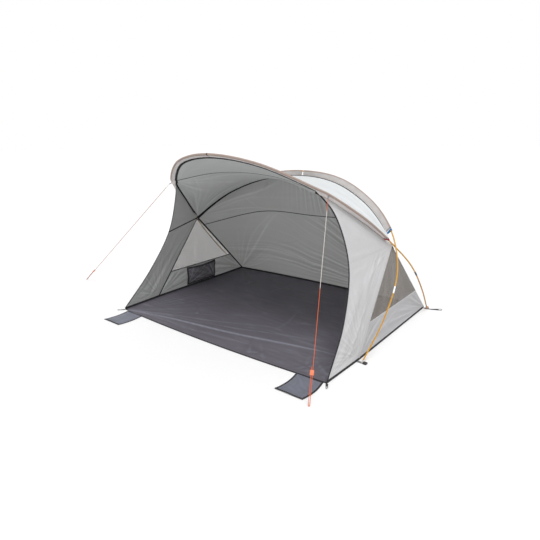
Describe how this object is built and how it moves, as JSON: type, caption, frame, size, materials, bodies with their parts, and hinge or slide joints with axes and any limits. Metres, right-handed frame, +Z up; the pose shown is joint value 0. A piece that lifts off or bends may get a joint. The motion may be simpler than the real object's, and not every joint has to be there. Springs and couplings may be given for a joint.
{
  "type": "beach tent",
  "caption": "Free-standing half-dome beach tent, open at the front, on crossed arch poles in cloth sleeves, with mesh side windows, a floor, fold-out flaps and guy lines.",
  "frame": {"origin": "on the ground, at the middle of the tent's footprint without its guy lines", "axes": "+X to the left of someone looking out of the door, across the opening; +Y towards the back wall; +Z up. The open front faces -Y"},
  "size_m": [3.3155, 1.9047, 1.3426],
  "materials": {
    "pale_cloth": "matt pale grey polyester, silver coated inside",
    "sleeve_cloth": "matt grey polyester",
    "floor_cloth": "dark grey woven polyethylene with a slight sheen",
    "insect_mesh": "fine grey mesh",
    "pocket_mesh": "dark mesh",
    "flap_cloth": "grey cloth with a dark bound edge",
    "fibreglass": "smooth orange fibreglass",
    "steel": "plated steel",
    "elastic": "woven elastic cord",
    "red_webbing": "woven tape",
    "blue_webbing": "woven tape",
    "grey_webbing": "woven tape",
    "guy_cord": "braided orange cord",
    "runner_plastic": "moulded orange plastic"
  },
  "bodies": {
    "tent": {"front_ferrule_left": "steel", "front_ferrule_right": "steel", "front_pole_arch": "fibreglass", "front_pole_leg_left": "fibreglass", "front_pole_leg_right": "fibreglass", "front_pole_pin_left": "steel", "front_pole_pin_right": "steel", "front_shock_cord": "elastic", "front_sleeve_left": "sleeve_cloth", "front_sleeve_right": "sleeve_cloth", "front_tab_left": "red_webbing", "front_tab_right": "red_webbing", "groundsheet": "floor_cloth", "guy_line_left": "guy_cord", "guy_line_right": "guy_cord", "guy_loop_left": "grey_webbing", "guy_loop_right": "grey_webbing", "rear_ferrule_left": "steel", "rear_ferrule_right": "steel", "rear_foot_strap_left": "grey_webbing", "rear_foot_strap_right": "grey_webbing", "rear_pole_arch": "fibreglass", "rear_pole_leg_left": "fibreglass", "rear_pole_leg_right": "fibreglass", "rear_pole_pin_left": "steel", "rear_pole_pin_right": "steel", "rear_shock_cord": "elastic", "rear_sleeve_left": "sleeve_cloth", "rear_sleeve_right": "sleeve_cloth", "rear_tab_left": "blue_webbing", "rear_tab_right": "blue_webbing", "rear_wall_lower": "pale_cloth", "rear_wall_upper": "pale_cloth", "roof_panel": "pale_cloth", "side_foot_strap_left": "grey_webbing", "side_foot_strap_right": "grey_webbing", "skirt_left": "pale_cloth", "skirt_right": "pale_cloth", "storage_pocket": "pocket_mesh", "visor_panel": "pale_cloth", "window_mesh_left": "insect_mesh", "window_mesh_right": "insect_mesh", "wing_lower_left": "pale_cloth", "wing_lower_right": "pale_cloth", "wing_upper_left": "pale_cloth", "wing_upper_right": "pale_cloth"},
    "sand_flap_left": {"sand_flap_left": "flap_cloth"},
    "sand_flap_right": {"sand_flap_right": "flap_cloth"},
    "front_peg_loop_left": {"front_peg_loop_left": "grey_webbing"},
    "front_peg_loop_right": {"front_peg_loop_right": "grey_webbing"},
    "rear_peg_loop_left": {"rear_peg_loop_left": "grey_webbing"},
    "rear_peg_loop_right": {"rear_peg_loop_right": "grey_webbing"},
    "guy_runner_left": {"guy_runner_left": "runner_plastic"},
    "guy_runner_right": {"guy_runner_right": "runner_plastic"}
  },
  "joints": [
    {"name": "sand_flap_left_fold", "type": "hinge", "parent": "tent", "child": "sand_flap_left", "pos_m": [-0.874, -0.71106, 0.0025], "axis": [-1, 0, 0], "range_deg": [0, 160]},
    {"name": "sand_flap_right_fold", "type": "hinge", "parent": "tent", "child": "sand_flap_right", "pos_m": [0.906, -0.70938, 0.0025], "axis": [-1, 0, 0], "range_deg": [0, 160]},
    {"name": "front_peg_loop_left_lift", "type": "hinge", "parent": "tent", "child": "front_peg_loop_left", "pos_m": [-1.02706, -0.6982, 0.002], "axis": [-0.8619, 0.507, 0], "range_deg": [0, 90]},
    {"name": "front_peg_loop_right_lift", "type": "hinge", "parent": "tent", "child": "front_peg_loop_right", "pos_m": [1.02706, -0.6982, 0.002], "axis": [-0.8619, -0.507, 0], "range_deg": [0, 90]},
    {"name": "rear_peg_loop_left_lift", "type": "hinge", "parent": "tent", "child": "rear_peg_loop_left", "pos_m": [-1.11562, 0.89162, 0.002], "axis": [0.3714, 0.9285, 0], "range_deg": [0, 90]},
    {"name": "rear_peg_loop_right_lift", "type": "hinge", "parent": "tent", "child": "rear_peg_loop_right", "pos_m": [1.11562, 0.89162, 0.002], "axis": [0.3714, -0.9285, 0], "range_deg": [0, 90]},
    {"name": "guy_runner_left_slide", "type": "slide", "parent": "tent", "child": "guy_runner_left", "axis": [-0.7778, -0.0641, -0.6252], "range_m": [0, 0.12]},
    {"name": "guy_runner_right_slide", "type": "slide", "parent": "tent", "child": "guy_runner_right", "axis": [0.2393, -0.5132, -0.8242], "range_m": [0, 0.12]}
  ]
}
